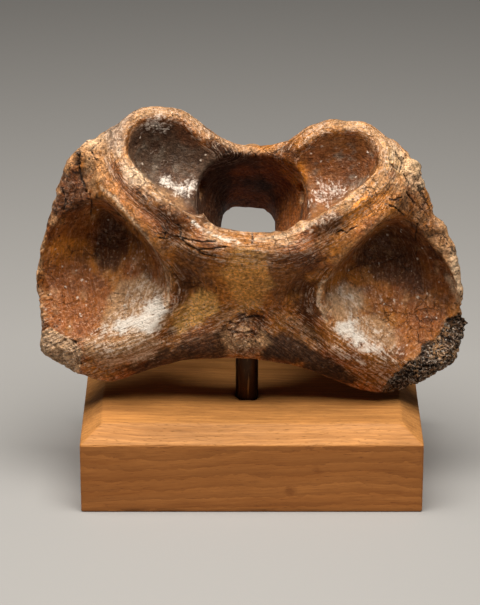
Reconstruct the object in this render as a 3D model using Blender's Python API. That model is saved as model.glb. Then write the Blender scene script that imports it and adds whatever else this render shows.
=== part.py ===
"""First neck vertebra (atlas) of a bison on a museum mount: a chamfered wooden block, a metal rod and the bone.

World frame: metres, +Z up, origin at the middle of the block's underside, +Y away from the viewer.
Bone frame, before it is tilted on the rod: millimetres, X to the side, +Y to the bone's back (dorsal),
+Z to the skull (cranial), origin in the middle of the canal, level with the lip of the ventral arch.
"""

import math

import bmesh
import bpy
import numpy as np
from mathutils import Matrix

MM = 0.001

# Wooden block: a length of 38 x 89 mm board with its top edges chamfered.
BLOCK_WIDTH = 146 * MM
BLOCK_DEPTH = 89 * MM
BLOCK_HEIGHT = 38 * MM
CHAMFER_IN = 9 * MM
CHAMFER_DOWN = 6.5 * MM
EDGE_ROUND = 0.6 * MM

# Rod: stands in a socket in the block, a little in front of its middle, and reaches into a socket in the bone.
ROD_X = -2 * MM
ROD_Y = -7.3 * MM
ROD_RADIUS = 4.9 * MM
ROD_FOOT = 20 * MM
ROD_TOP = 71 * MM
SOCKET_GAP = 0.3 * MM

# Pose of the bone on the rod: the skull end leans to the viewer, and the whole is a little out of level.
LEAN = math.radians(34)
ROLL = math.radians(3)
BONE_AT = (-0.6 * MM, -13.5 * MM, 133.6 * MM)

# The hollows under the wings open to the belly side and the skull, and the cups to the skull.
FOSSA_OUT = np.array([0, -0.545, 0.839])
FOSSA_BOTTOM = np.array([59, 5.5, -34.5])
CUP_OUT = np.array([0, 0.05, 1])
CUP_BOTTOM = np.array([36, 7, -6])
WING_THICK = 7.0
WING_MARGIN = 0.6
CUP_WALL = 4.5
CUP_EDGE = 2.8

# Fineness of the bone's fused surface, and the triangles that it keeps.
VOXEL = 1.5 * MM
BONE_TRIANGLES = 11000


def clear_scene():
    for old in list(bpy.data.objects):
        bpy.data.objects.remove(old)


def material(name, colour, roughness, metallic=0.0):
    made = bpy.data.materials.new(name)
    made.use_nodes = True
    shader = made.node_tree.nodes["Principled BSDF"]
    shader.inputs["Base Color"].default_value = (*colour, 1.0)
    shader.inputs["Roughness"].default_value = roughness
    shader.inputs["Metallic"].default_value = metallic
    return made


def new_object(name, bm):
    mesh = bpy.data.meshes.new(name)
    bm.to_mesh(mesh)
    bm.free()
    made = bpy.data.objects.new(name, mesh)
    bpy.context.scene.collection.objects.link(made)
    return made


def smooth_path(points, per_span=6, closed=False):
    """Catmull-Rom curve through the points, as an array."""
    p = np.array(points, float)
    if closed:
        p = np.vstack([p[-1], p, p[:2]])
    else:
        p = np.vstack([2 * p[0] - p[1], p, 2 * p[-1] - p[-2]])
    t = np.linspace(0, 1, per_span, endpoint=False)[:, None]
    spans = [
        0.5 * (2 * b + (c - a) * t + (2 * a - 5 * b + 4 * c - d) * t**2 + (3 * b - a - 3 * c + d) * t**3)
        for a, b, c, d in zip(p, p[1:], p[2:], p[3:])
    ]
    return np.vstack(spans if closed else [*spans, p[-2]])


def skin(bm, rings, low_pole=None, high_pole=None):
    """Adds a closed body to bm: a skin over closed rings of points, with a fan to a pole at each end."""
    part = bmesh.new()
    rows = [[part.verts.new(q * MM) for q in ring] for ring in rings]
    n = len(rows[0])
    for low, high in zip(rows, rows[1:]):
        for i in range(n):
            part.faces.new((low[i], low[(i + 1) % n], high[(i + 1) % n], high[i]))
    for row, ring, pole in ((rows[0], rings[0], low_pole), (rows[-1], rings[-1], high_pole)):
        tip = part.verts.new((ring.mean(axis=0) if pole is None else pole) * MM)
        for i in range(n):
            part.faces.new((row[i], row[(i + 1) % n], tip))
    bmesh.ops.recalc_face_normals(part, faces=part.faces)
    mesh = bpy.data.meshes.new("shape")
    part.to_mesh(mesh)
    part.free()
    bm.from_mesh(mesh)
    bpy.data.meshes.remove(mesh)


def ridge(bm, points, sides=16):
    """A round ridge of bone along a path. Each point is (x, y, z, radius)."""
    path = smooth_path(points)
    along = np.gradient(path[:, :3], axis=0)
    across = np.cross(along[0], (0.31, 0.52, 0.79))
    turn = np.linspace(0, 2 * math.pi, sides, endpoint=False)[:, None]
    rings = []
    for place, direction in zip(path, along):
        direction = direction / np.linalg.norm(direction)
        across = across - direction * (across @ direction)
        across /= np.linalg.norm(across)
        rings.append(place[:3] + place[3] * (np.cos(turn) * across + np.sin(turn) * np.cross(direction, across)))
    skin(bm, rings)


def ellipsoid(bm, centre, radii, sides=28):
    """An ellipsoid as a stack of rings along z."""
    turn = np.linspace(0, 2 * math.pi, sides, endpoint=False)
    rise = np.linspace(-0.46 * math.pi, 0.46 * math.pi, 16)
    rings = []
    for a in rise:
        ring = np.column_stack([np.cos(turn) * math.cos(a), np.sin(turn) * math.cos(a), np.full(sides, math.sin(a))])
        rings.append(np.array(centre) + ring * radii)
    skin(bm, rings)


def loft(bm, sections, sides=56):
    """A body over level sections, each drawn as a superellipse: (z, middle x, half width, low y, high y, power)."""
    turn = np.linspace(0, 2 * math.pi, sides, endpoint=False)
    rings = []
    for z, middle, half, low, high, power in smooth_path(sections):
        x = np.sign(np.cos(turn)) * abs(np.cos(turn)) ** (2 / power)
        y = np.sign(np.sin(turn)) * abs(np.sin(turn)) ** (2 / power)
        rings.append(np.column_stack([middle + x * half, (low + high) / 2 + y * (high - low) / 2, np.full(sides, z)]))
    skin(bm, rings)


def bowl(bm, rim, bottom, out, lid, behind=0.0, grow=0.0):
    """A body between a bowl and a lid.

    Each rim point is (x, y, z, steepness). Seen along out, the bowl's rings shrink evenly from the rim to the bottom.
    Their height over the bottom falls as the distance's power of the steepness. The lid stands off the rim by lid.
    behind moves the bowl's wall back, and grow widens the rim.
    """
    out = out / np.linalg.norm(out)
    curve = smooth_path(rim, closed=True)
    spoke = curve[:, :3] - bottom
    height = spoke @ out
    flat = spoke - np.outer(height, out)
    reach = np.linalg.norm(flat, axis=1)[:, None]
    flat = flat * (reach + grow) / reach
    rings = []
    for s in np.linspace(0, 1, 14)[1:]:
        lift = height * s ** curve[:, 3] - behind
        rings.append(bottom + flat * s + np.outer(lift, out))
    rings.append(bottom + flat + np.outer(height + lid, out))
    skin(bm, rings, bottom - out * behind, bottom + out * (height.max() + lid))


def mirrored(points, side):
    return [(side * p[0], *p[1:]) for p in points]


def wing_border(side):
    """The wing's free border, from the cup's outer side round the tail tip to the middle: x, y, z, radius."""
    if side < 0:
        outer = [
            (-54, 19, 8, 8), (-64, 15, 5.5, 6.5), (-71, 12.5, 1.5, 6), (-75.5, 7.5, -5, 5), (-78.5, 1, -12, 5),
            (-81.5, -7, -21, 4.5), (-84, -15, -31, 4.5), (-84.5, -23, -41, 4.5), (-82.5, -31, -50.5, 4.5),
            (-79, -38, -59, 6), (-69, -43, -65.5, 7), (-57, -45, -70, 6.5),
        ]
    else:
        outer = [
            (54, 20, 8, 8), (61, 16, 5, 7), (67, 10, -1, 6), (73, 4, -9.5, 5), (80.5, -3.5, -17.5, 5),
            (86, -9.5, -26, 4.5), (88.5, -18, -36, 4.5), (90, -27, -46, 4.5), (89, -35, -55.5, 5),
            (82, -40, -61.5, 5.5), (71, -43.5, -65.5, 6), (59, -45, -69, 6.5),
        ]
    tail = [(46, -41.3, -66, 8), (34, -38.7, -60, 9), (20, -37.7, -55, 9.5), (-3, -37.7, -51.5, 9.5)]
    return outer + mirrored(tail, side)


def fossa_rim(side):
    """Where the wing's hollow breaks the surface: the border's inside, the tail crest and the pillar's edge.

    Each point is (x, y, z, steepness of the wall there).
    """
    if side < 0:
        return [
            (-62, -5, -2, 2.6), (-69, -2, -7, 2.2), (-77, -3, -15, 1.6), (-84.5, -9, -25, 1.3), (-88.5, -18, -36, 1.3),
            (-87.5, -27, -48, 1.3), (-79, -39, -54.5, 1.4), (-65, -45, -52.7, 1.4), (-51, -45.6, -46, 1.4),
            (-41, -42.8, -39.3, 1.2), (-34, -36, -34, 1.1), (-32, -29, -28, 1.2), (-35.5, -23, -18, 1.7),
            (-44, -17, -10, 3.2), (-54, -10, -4, 3),
        ]
    return [
        (61, -5, -3, 2.6), (68, -2, -10, 2.2), (77, -6, -20, 1.6), (86, -12, -30, 1.3), (92, -21, -41, 1.3),
        (93, -30, -52, 1.3), (84, -40, -56.5, 1.4), (70, -45.8, -53.8, 1.4), (55, -46.6, -46, 1.4),
        (43, -43.3, -39.8, 1.2), (36, -36.5, -35, 1.1), (33.5, -28.5, -29, 1.2), (36.5, -22.5, -19, 1.7),
        (44, -17, -11, 3.2), (54, -9, -4, 3),
    ]


def cup_rim(side):
    """The edge of the hollow for the skull's condyle, round to the canal: x, y, z, steepness.

    The left one stands a little higher and reaches further over the canal.
    """
    rise, inward = (1.9, 5.0) if side < 0 else (0.0, 0.0)
    return mirrored([
        (17 - inward, 20.5, 1, 2.0), (23, 24 + rise / 2, 8, 2.2), (30, 26.8 + rise, 13, 2.6),
        (38, 26.8 + rise, 15.5, 2.8), (47, 25.3 + rise, 16, 2.8), (54, 19.5 + rise, 14, 2.6), (55.5, 10, 12, 2.4),
        (51, 0, 11, 2.4), (43.5, -8, 11, 2.2), (35, -14, 9, 2.0), (26, -17.5, 4, 2.0), (20.5 - inward * 0.2, -15, -1, 1.8),
        (19 - inward * 0.55, -6, -5, 1.6), (18 - inward * 0.5, 5, -6, 1.6), (16.5 - inward, 14, -4, 1.8),
    ], side)


def half_bone(bm, side):
    """All that one side of the bone adds."""
    across = np.array([side, 1, 1])
    ridge(bm, wing_border(side))
    # Shoulder between the cup and the wing's front border.
    ridge(bm, mirrored([(48, 14, -4, 10), (60, 8, -5, 8.5), (70, 3, -11, 7), (77, -4, -20, 5)], side))
    # Crest between the wing's hollow and its tail margin.
    ridge(bm, mirrored([(76, -38, -59, 6), (64, -41, -59, 7.5), (50, -41.5, -53, 8.5), (38, -39, -46, 8)], side))
    bowl(bm, fossa_rim(side), FOSSA_BOTTOM * across, FOSSA_OUT, 1.5, WING_THICK, WING_MARGIN)
    # Bone between the cup and the arch over the canal.
    ridge(bm, mirrored([(4, 24, -5, 4), (17, 25, -1, 5), (26, 28, 6, 5), (36, 28.5, 10, 5)], side))
    # Lobe of the cup, narrowing to the waist of the side mass, and the pillar under it.
    bowl(bm, cup_rim(side), np.array([38, 0, -34]) * across, CUP_OUT, 1.0, 0.0, CUP_WALL)
    ellipsoid(bm, np.array([35, -14.5, -8]) * across, (14, 10, 12))
    ridge(bm, mirrored([(58, 9, 4, 7), (60, 2, 2, 6), (52, -8, 1, 6.5), (42, -15.5, -3, 8), (36, -21, -14, 8)], side))
    ridge(bm, mirrored([(40, -12, -24, 12), (42, -18, -38, 12), (46, -27, -49, 11), (50, -35, -56, 9)], side), 20)
    ridge(bm, mirrored([
        (38, -20, -15, 4), (33.5, -26, -26, 5), (33, -32, -35, 6), (36, -34.5, -42, 7), (42, -37, -47, 8),
    ], side))


def bone_mass():
    """The bone's full outside, before anything is hollowed out."""
    bm = bmesh.new()
    for side in (-1, 1):
        half_bone(bm, side)
    # The ring round the canal, from the skull end to the tail end.
    loft(bm, [
        (0, 0, 36, -27, 25.5, 2.8), (-6, 0, 42, -29.5, 29.5, 2.8), (-14, 0, 41, -32, 33, 2.8),
        (-24, 0, 37, -34, 35.5, 2.8), (-34, 0, 36, -36, 36, 2.8), (-44, 0, 42, -40, 34, 2.8),
        (-53, 0, 51, -44, 28, 2.8), (-61, 0, 54, -44, 20, 2.8),
    ])
    # Rough knob at the tail end of the underside, and the low one on the back.
    ellipsoid(bm, (-1, -43, -45), (7.5, 7, 10))
    ellipsoid(bm, (0, 32, -26), (9, 6.5, 17))
    # Broken lump at the tip of one wing.
    ellipsoid(bm, (-79, -40, -61), (8, 6.5, 8))
    return new_object("bone", bm)


def canal_shape(bm):
    loft(bm, [
        (40, 0, 23, -22, 60, 2.5), (8, 1, 22, -20, 31, 2.5), (1, 1, 21.5, -18.5, 21.5, 2.7),
        (-8, 1, 23.5, -18.5, 22.5, 2.8), (-24, 0.7, 20, -20, 25.5, 3.0), (-40, 0.8, 12.4, -21, 27.5, 3.8),
        (-52, 0.5, 13.2, -22, 29, 3.8), (-62, 0, 19, -24, 29.5, 3.2), (-90, 0, 28, -26, 34, 3),
    ])


def peg_hollow(bm):
    """Hollow in the canal's floor for the peg of the next vertebra."""
    ellipsoid(bm, (0, -17, -66), (16, 8.5, 26))


def tail_faces(bm):
    """The slightly hollow faces that meet the next vertebra."""
    for side in (-1, 1):
        ellipsoid(bm, (side * 36, -12, -84), (21, 29, 25))


def cup_hollows(bm):
    for side in (-1, 1):
        bowl(bm, cup_rim(side), CUP_BOTTOM * (side, 1, 1), CUP_OUT, 25, 0.0, -CUP_EDGE)


def fossa_hollows(bm):
    for side in (-1, 1):
        bowl(bm, fossa_rim(side), FOSSA_BOTTOM * (side, 1, 1), FOSSA_OUT, 40)


def nerve_openings(bm):
    """From the canal out to the back, and through the root of each wing."""
    for side in (-1, 1):
        ridge(bm, mirrored([(14, 10, -17, 4.5), (34, 19, -15, 4), (52, 33, -12, 5.5)], side))
        ridge(bm, mirrored([(57, 30, -8, 5), (54, 8, -13, 4.5), (50, -12, -18, 4.5)], side))


def belly_hollows(bm):
    """Shallow hollows between the middle of the belly side and the pillars' edges."""
    for side in (-1, 1):
        ridge(bm, mirrored([(32, -28, -8, 3.5), (27, -32.5, -16, 6), (23.5, -35.5, -25, 8), (21, -40, -34, 4)], side))


def cutters():
    made = []
    shapes = (canal_shape, peg_hollow, tail_faces, cup_hollows, fossa_hollows, nerve_openings, belly_hollows)
    for shape in shapes:
        bm = bmesh.new()
        shape(bm)
        made.append(new_object(shape.__name__, bm))
    return made


def evaluated_copy(source, name):
    """A new object with the source's modifiers applied. The source is removed."""
    graph = bpy.context.evaluated_depsgraph_get()
    mesh = bpy.data.meshes.new_from_object(source.evaluated_get(graph))
    bpy.data.objects.remove(source)
    made = bpy.data.objects.new(name, mesh)
    bpy.context.scene.collection.objects.link(made)
    return made


def fuse(obj, smoothing):
    remesh = obj.modifiers.new("Fuse", "REMESH")
    remesh.mode = "VOXEL"
    remesh.voxel_size = VOXEL
    smooth = obj.modifiers.new("Soften", "SMOOTH")
    smooth.factor = 0.5
    smooth.iterations = smoothing


def cut(target, cutter):
    hollow = target.modifiers.new("Hollow", "BOOLEAN")
    hollow.operation = "DIFFERENCE"
    hollow.object = cutter
    cutter.hide_render = True
    cutter.display_type = "WIRE"


def largest_piece(mesh):
    """Keeps the largest connected surface of the mesh."""
    bm = bmesh.new()
    bm.from_mesh(mesh)
    left = set(bm.verts)
    pieces = []
    while left:
        stack = [left.pop()]
        piece = list(stack)
        while stack:
            for edge in stack.pop().link_edges:
                for vert in edge.verts:
                    if vert in left:
                        left.remove(vert)
                        stack.append(vert)
                        piece.append(vert)
        pieces.append(piece)
    pieces.sort(key=len)
    for piece in pieces[:-1]:
        bmesh.ops.delete(bm, geom=piece, context="VERTS")
    bm.to_mesh(mesh)
    bm.free()


def make_bone():
    mass = bone_mass()
    fuse(mass, 12)
    solid = evaluated_copy(mass, "bone")
    for cutter in cutters():
        cut(solid, cutter)
    fuse(solid, 3)
    bone = evaluated_copy(solid, "bone")
    largest_piece(bone.data)
    bone.data.calc_loop_triangles()
    thin = bone.modifiers.new("Thin", "DECIMATE")
    thin.ratio = BONE_TRIANGLES / len(bone.data.loop_triangles)
    thin.use_collapse_triangulate = True
    bone = evaluated_copy(bone, "atlas")
    pose = Matrix.Translation(BONE_AT) @ Matrix.Rotation(ROLL, 4, "Y") @ Matrix.Rotation(LEAN, 4, "X")
    bone.data.transform(pose)
    bone.data.materials.clear()
    bone.data.materials.append(material("bone", (0.33, 0.17, 0.07), 0.4))
    bone.data.shade_smooth()
    return bone


def cylinder(name, radius, bottom, top):
    bm = bmesh.new()
    bmesh.ops.create_cone(bm, cap_ends=True, segments=48, radius1=radius, radius2=radius, depth=top - bottom)
    bmesh.ops.translate(bm, verts=bm.verts, vec=(ROD_X, ROD_Y, (top + bottom) / 2))
    return new_object(name, bm)


def round_edges(obj):
    bevel = obj.modifiers.new("Edge", "BEVEL")
    bevel.width = EDGE_ROUND
    bevel.segments = 2
    bevel.limit_method = "ANGLE"


def make_block():
    bm = bmesh.new()
    bmesh.ops.create_cube(bm, size=1)
    bmesh.ops.scale(bm, verts=bm.verts, vec=(BLOCK_WIDTH, BLOCK_DEPTH, BLOCK_HEIGHT))
    bmesh.ops.translate(bm, verts=bm.verts, vec=(0, 0, BLOCK_HEIGHT / 2))
    top = [face for face in bm.faces if face.normal.z > 0.5]
    bmesh.ops.inset_region(bm, faces=top, thickness=CHAMFER_IN)
    for vert in bm.verts:
        if vert.co.z > BLOCK_HEIGHT / 2 and abs(vert.co.x) > BLOCK_WIDTH / 2 - EDGE_ROUND:
            vert.co.z -= CHAMFER_DOWN
    block = new_object("stand_block", bm)
    round_edges(block)
    cut(block, cylinder("block_socket", ROD_RADIUS + SOCKET_GAP, ROD_FOOT - SOCKET_GAP, BLOCK_HEIGHT * 1.2))
    block.data.materials.append(material("wood", (0.45, 0.24, 0.1), 0.45))


def make_rod(bone):
    rod = cylinder("stand_rod", ROD_RADIUS, ROD_FOOT, ROD_TOP)
    round_edges(rod)
    rod.data.materials.append(material("rod", (0.25, 0.17, 0.1), 0.35, 0.9))
    cut(bone, cylinder("bone_socket", ROD_RADIUS + SOCKET_GAP, BLOCK_HEIGHT * 1.2, ROD_TOP + SOCKET_GAP))


def main():
    clear_scene()
    bone = make_bone()
    make_block()
    make_rod(bone)


main()
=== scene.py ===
"""A bison's atlas, the neck bone that carries the skull, on a museum's mount: a wooden block, a metal rod, the bone.

Metres, +Z up, +Y away from the viewer, origin in the middle of the block's underside.
"""
import math

import bmesh
import bpy
import numpy as np
from mathutils import Matrix, Vector


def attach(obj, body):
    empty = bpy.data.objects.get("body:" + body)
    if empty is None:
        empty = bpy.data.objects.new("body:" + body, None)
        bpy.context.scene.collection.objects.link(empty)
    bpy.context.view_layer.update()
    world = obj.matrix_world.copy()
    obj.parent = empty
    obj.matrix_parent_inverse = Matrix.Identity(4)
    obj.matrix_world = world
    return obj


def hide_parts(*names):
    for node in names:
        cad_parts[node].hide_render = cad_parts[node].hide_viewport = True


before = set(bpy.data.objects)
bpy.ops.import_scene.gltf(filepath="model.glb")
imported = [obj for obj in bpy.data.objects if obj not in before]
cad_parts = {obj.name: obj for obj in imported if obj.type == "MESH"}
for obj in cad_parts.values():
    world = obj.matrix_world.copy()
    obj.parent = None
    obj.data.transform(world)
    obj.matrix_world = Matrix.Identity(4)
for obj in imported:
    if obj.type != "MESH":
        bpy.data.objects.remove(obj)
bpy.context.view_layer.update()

# The viewer stands in front of the mount and looks down on it by 23 degrees through a long lens.
# The lens is given in pixels of the picture, and the camera is turned so that the rod's foot is seen at its pixel.
LOOK_DOWN = math.radians(23)
PICTURE_WIDTH, PICTURE_HEIGHT = 480, 605
LENS_PIXELS = 2900
PIXELS_PER_METRE = 2300
ROD_FOOT_SEEN = (246.9, 395)
ROD_FOOT_PLACE = np.array([-0.002, -0.0073, 0.038])
SENSOR_WIDTH = 36


def placed(name, data):
    """A new object in the scene that shows the data."""
    made = bpy.data.objects.new(name, data)
    bpy.context.scene.collection.objects.link(made)
    return made


view_right = np.array([1.0, 0, 0])
view_up = np.array([0, math.sin(LOOK_DOWN), math.cos(LOOK_DOWN)])
view_back = np.array([0, -math.cos(LOOK_DOWN), math.sin(LOOK_DOWN)])
looked_at = (
    ROD_FOOT_PLACE
    + view_right * (PICTURE_WIDTH / 2 - ROD_FOOT_SEEN[0]) / PIXELS_PER_METRE
    + view_up * (ROD_FOOT_SEEN[1] - PICTURE_HEIGHT / 2) / PIXELS_PER_METRE
)
eye = looked_at + view_back * LENS_PIXELS / PIXELS_PER_METRE
viewer = placed("viewer", bpy.data.cameras.new("viewer"))
viewer.data.sensor_width = SENSOR_WIDTH
viewer.data.lens = LENS_PIXELS * SENSOR_WIDTH / PICTURE_HEIGHT
viewer.matrix_world = Matrix(np.column_stack([view_right, view_up, view_back, eye]).tolist() + [[0, 0, 0, 1]])
bpy.context.scene.camera = viewer
bpy.context.scene.view_settings.view_transform = "Standard"


# The block: a length of 38 x 89 mm board, planed, its top edges chamfered by hand, oiled to a satin finish.
# The grain runs along it. The corners are rubbed soft and a little dented, and the rod's socket is drilled in the top.
MM = 0.001
BLOCK_HALF_WIDTH = 73.0
BLOCK_HALF_DEPTH = 44.5
BLOCK_HEIGHT = 38.0
CHAMFER_IN = 9.0
CHAMFER_DOWN = 6.5
CORNER_ROUND = 0.8
SIDE_COLUMNS = 72
TOP_RINGS = 15
ROD_AT = np.array([-2.0, -7.3])
SOCKET_RADIUS = 5.2
SOCKET_FOOT = 19.7
EDGE_DENT = 0.45
PLANER_WAVE = 0.03
# What faces along one of these is a flat of the block: ends, sides, top and the chamfers.
BLOCK_FLATS = np.array([[1, 0, 0], [0, 1, 0], [0, 0, 1], [0, 0.585, 0.811], [0.585, 0, 0.811]])
HEART_AT = (0, -0.060, -0.075)
HEART_SLOPE = (0, math.radians(2.5), math.radians(1.5))
RING_SCALE, STREAK_SCALE, WOOD_FIBRE_SCALE, PORE_SCALE = 130, 260, 1500, 2600
WOOD_LIGHT = (0.46, 0.200, 0.053)
WOOD_DARK = (0.24, 0.090, 0.021)
WOOD_SIDE_SHADE = (0.33, 0.082, 0.010)
KNOTS = [((28, -44, 19.5), 1.0), ((16.5, -44, 10), 1.8), ((-65.7, -36, 37.8), 0.6)]


def random_field(places, size, seed):
    """Smooth random values from -1 to 1: seeded numbers on a lattice of cells of the size, mixed inside each cell
    by the smoothstep of how far across it a place is."""
    table = np.random.default_rng(seed).uniform(-1, 1, (32, 32, 32))
    cell = places / size + 100.5
    low = np.floor(cell).astype(int)
    across = cell - low
    across = across * across * (3 - 2 * across)
    value = np.zeros(len(places))
    for corner in np.ndindex(2, 2, 2):
        weight = np.prod(np.where(corner, across, 1 - across), axis=1)
        value += weight * table[tuple(((low + corner) % 32).T)]
    return value


def rugged(places, size, seed, octaves=3):
    """A sum of random fields, each of half the size and half the height of the one before."""
    return sum(random_field(places, size / 2**k, seed + k) / 2**k for k in range(octaves))


def ramp(value, start, end):
    """Smoothstep: 0 at the start, 1 at the end, level outside them."""
    t = np.clip((value - start) / (end - start), 0, 1)
    return t * t * (3 - 2 * t)


def skin(rings, low_pole=None, high_pole=None):
    """Closed surface over rings of points: quads between neighbouring rings, and a fan to a pole at each end.

    A pole is the mean of its ring where none is given. Returns the points and the faces' corner numbers.
    """
    count, n = rings.shape[:2]
    low_pole = rings[0].mean(axis=0) if low_pole is None else low_pole
    high_pole = rings[-1].mean(axis=0) if high_pole is None else high_pole
    here = np.arange(n)
    beside = (here + 1) % n
    base = np.arange(count - 1)[:, None] * n
    last = (count - 1) * n
    quads = np.stack([base + here, base + beside, base + n + beside, base + n + here], axis=-1).reshape(-1, 4)
    first_fan = np.stack([beside, here, np.full(n, last + n)], axis=-1)
    last_fan = np.stack([last + here, last + beside, np.full(n, last + n + 1)], axis=-1)
    faces = quads.tolist() + first_fan.tolist() + last_fan.tolist()
    return np.vstack([rings.reshape(-1, 3), low_pole, high_pole]), faces


def reworked(mesh, work):
    """Opens the mesh, does the work on it and puts it back."""
    opened = bmesh.new()
    opened.from_mesh(mesh)
    work(opened)
    opened.to_mesh(mesh)
    opened.free()


def solid_of(name, *shapes):
    """One mesh object from closed surfaces in millimetres, with every face turned outwards."""
    points, faces, count = [], [], 0
    for shape_points, shape_faces in shapes:
        faces += [[corner + count for corner in face] for face in shape_faces]
        points.append(shape_points)
        count += len(shape_points)
    mesh = bpy.data.meshes.new(name)
    mesh.from_pydata(np.vstack(points) * MM, [], faces)
    reworked(mesh, lambda opened: bmesh.ops.recalc_face_normals(opened, faces=opened.faces))
    return placed(name, mesh)


def read_all(items, field, width=3, kind=float):
    """One field of all the mesh's points, normals or edges: an array with a row for each."""
    flat = np.empty(len(items) * width, kind)
    items.foreach_get(field, flat)
    return flat.reshape(-1, width)


def points_of(mesh):
    """The mesh's points in millimetres."""
    return read_all(mesh.vertices, "co") / MM


def normals_of(mesh):
    """The way that the surface faces at each point, one long."""
    return read_all(mesh.vertex_normals, "vector")


def move_points(mesh, places):
    """Puts the points at the places, which are in millimetres."""
    mesh.vertices.foreach_set("co", (places * MM).ravel())
    mesh.update()


def store(mesh, name, values):
    """Keeps a value for each point on the mesh: a number, a vector or a colour, by the array's width."""
    width = 1 if values.ndim == 1 else values.shape[1]
    kind, field = {1: ("FLOAT", "value"), 3: ("FLOAT_VECTOR", "vector"), 4: ("FLOAT_COLOR", "color")}[width]
    mesh.attributes.new(name, kind, "POINT").data.foreach_set(field, values.astype(np.float32).ravel())


def board_outline():
    """A rectangle's outline as two parts per point: where it is on the sharp rectangle, from -1 to 1 each way,
    and the direction in which the rounding's radius is added. Each side is followed by its corner's quarter turn."""
    side = np.linspace(-1, 1, SIDE_COLUMNS)[:, None]
    turn = np.linspace(0, math.pi / 2, 7)[1:-1]
    base, push = [], []
    for x, y, start in ((0, -1, -math.pi / 2), (1, 0, 0), (0, 1, math.pi / 2), (-1, 0, math.pi)):
        base += [np.array([x, y]) + side * (-y, x), np.tile([x - y, y + x], (len(turn), 1))]
        push += [np.tile([x, y], (SIDE_COLUMNS, 1)), np.column_stack([np.cos(start + turn), np.sin(start + turn)])]
    return np.vstack(base), np.vstack(push)


def block_shape():
    """The block's profile, from the middle of the underside round to the socket's bottom, carried round the outline.

    Each row is an inset from the outer faces and a height: underside, lower edge, wall, shoulder, chamfer and top edge.
    On the top, the rows pass evenly from the outline to the socket's circle, and then down its wall.
    """
    base, push = board_outline()
    quarter = np.linspace(0, math.pi / 2, 5)
    bend = np.linspace(0, math.pi / 2 - math.atan2(CHAMFER_DOWN, CHAMFER_IN), 5)
    shoulder = BLOCK_HEIGHT - CHAMFER_DOWN
    rows = [(s, 0.0) for s in np.linspace(40, 5, 6)]
    rows += [(CORNER_ROUND * (1 - math.sin(a)), CORNER_ROUND * (1 - math.cos(a))) for a in quarter]
    rows += [(0.0, z) for z in np.linspace(2, shoulder - 1, 14)]
    rows += [(CORNER_ROUND * (1 - math.cos(a)), shoulder - 0.35 + CORNER_ROUND * math.sin(a)) for a in bend]
    rows += [(s, shoulder + s * CHAMFER_DOWN / CHAMFER_IN) for s in np.linspace(1.2, CHAMFER_IN - 0.9, 9)]
    rows += [(CHAMFER_IN + s, BLOCK_HEIGHT - drop) for s, drop in ((-0.4, 0.25), (0, 0.08), (0.6, 0))]
    rings = []
    for inset, z in rows:
        radius = max(CORNER_ROUND, inset * 0.15)
        half = np.array([BLOCK_HALF_WIDTH, BLOCK_HALF_DEPTH]) - inset - radius
        rings.append(np.column_stack([base * half + push * radius, np.full(len(base), z)]))
    outline = rings[-1][:, :2]
    way = outline - ROD_AT
    mouth = way / np.linalg.norm(way, axis=1)[:, None] * SOCKET_RADIUS + ROD_AT
    for share in np.linspace(0, 1, TOP_RINGS + 1)[1:]:
        rings.append(np.column_stack([outline * (1 - share) + mouth * share, np.full(len(base), BLOCK_HEIGHT)]))
    for z in (BLOCK_HEIGHT - 0.5, BLOCK_HEIGHT - 6, SOCKET_FOOT):
        rings.append(np.column_stack([mouth, np.full(len(base), z)]))
    return skin(np.array(rings))


def wear_block(places, normals):
    """The dents: along the edges, a random field pushes the wood in, and the flats keep a planer's faint waves.

    A place is on an edge where its normal points along none of the flats.
    """
    edge = ramp((np.abs(normals) @ BLOCK_FLATS.T).max(axis=1), 0.995, 0.93)
    dents = ramp(rugged(places * [0.5, 0.5, 1], 4, 11), 0.05, 0.9)
    waves = random_field(places * [0.15, 0.6, 0.6], 7, 15)
    return places - normals * (edge * dents * EDGE_DENT + waves * PLANER_WAVE)[:, None]


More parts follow.
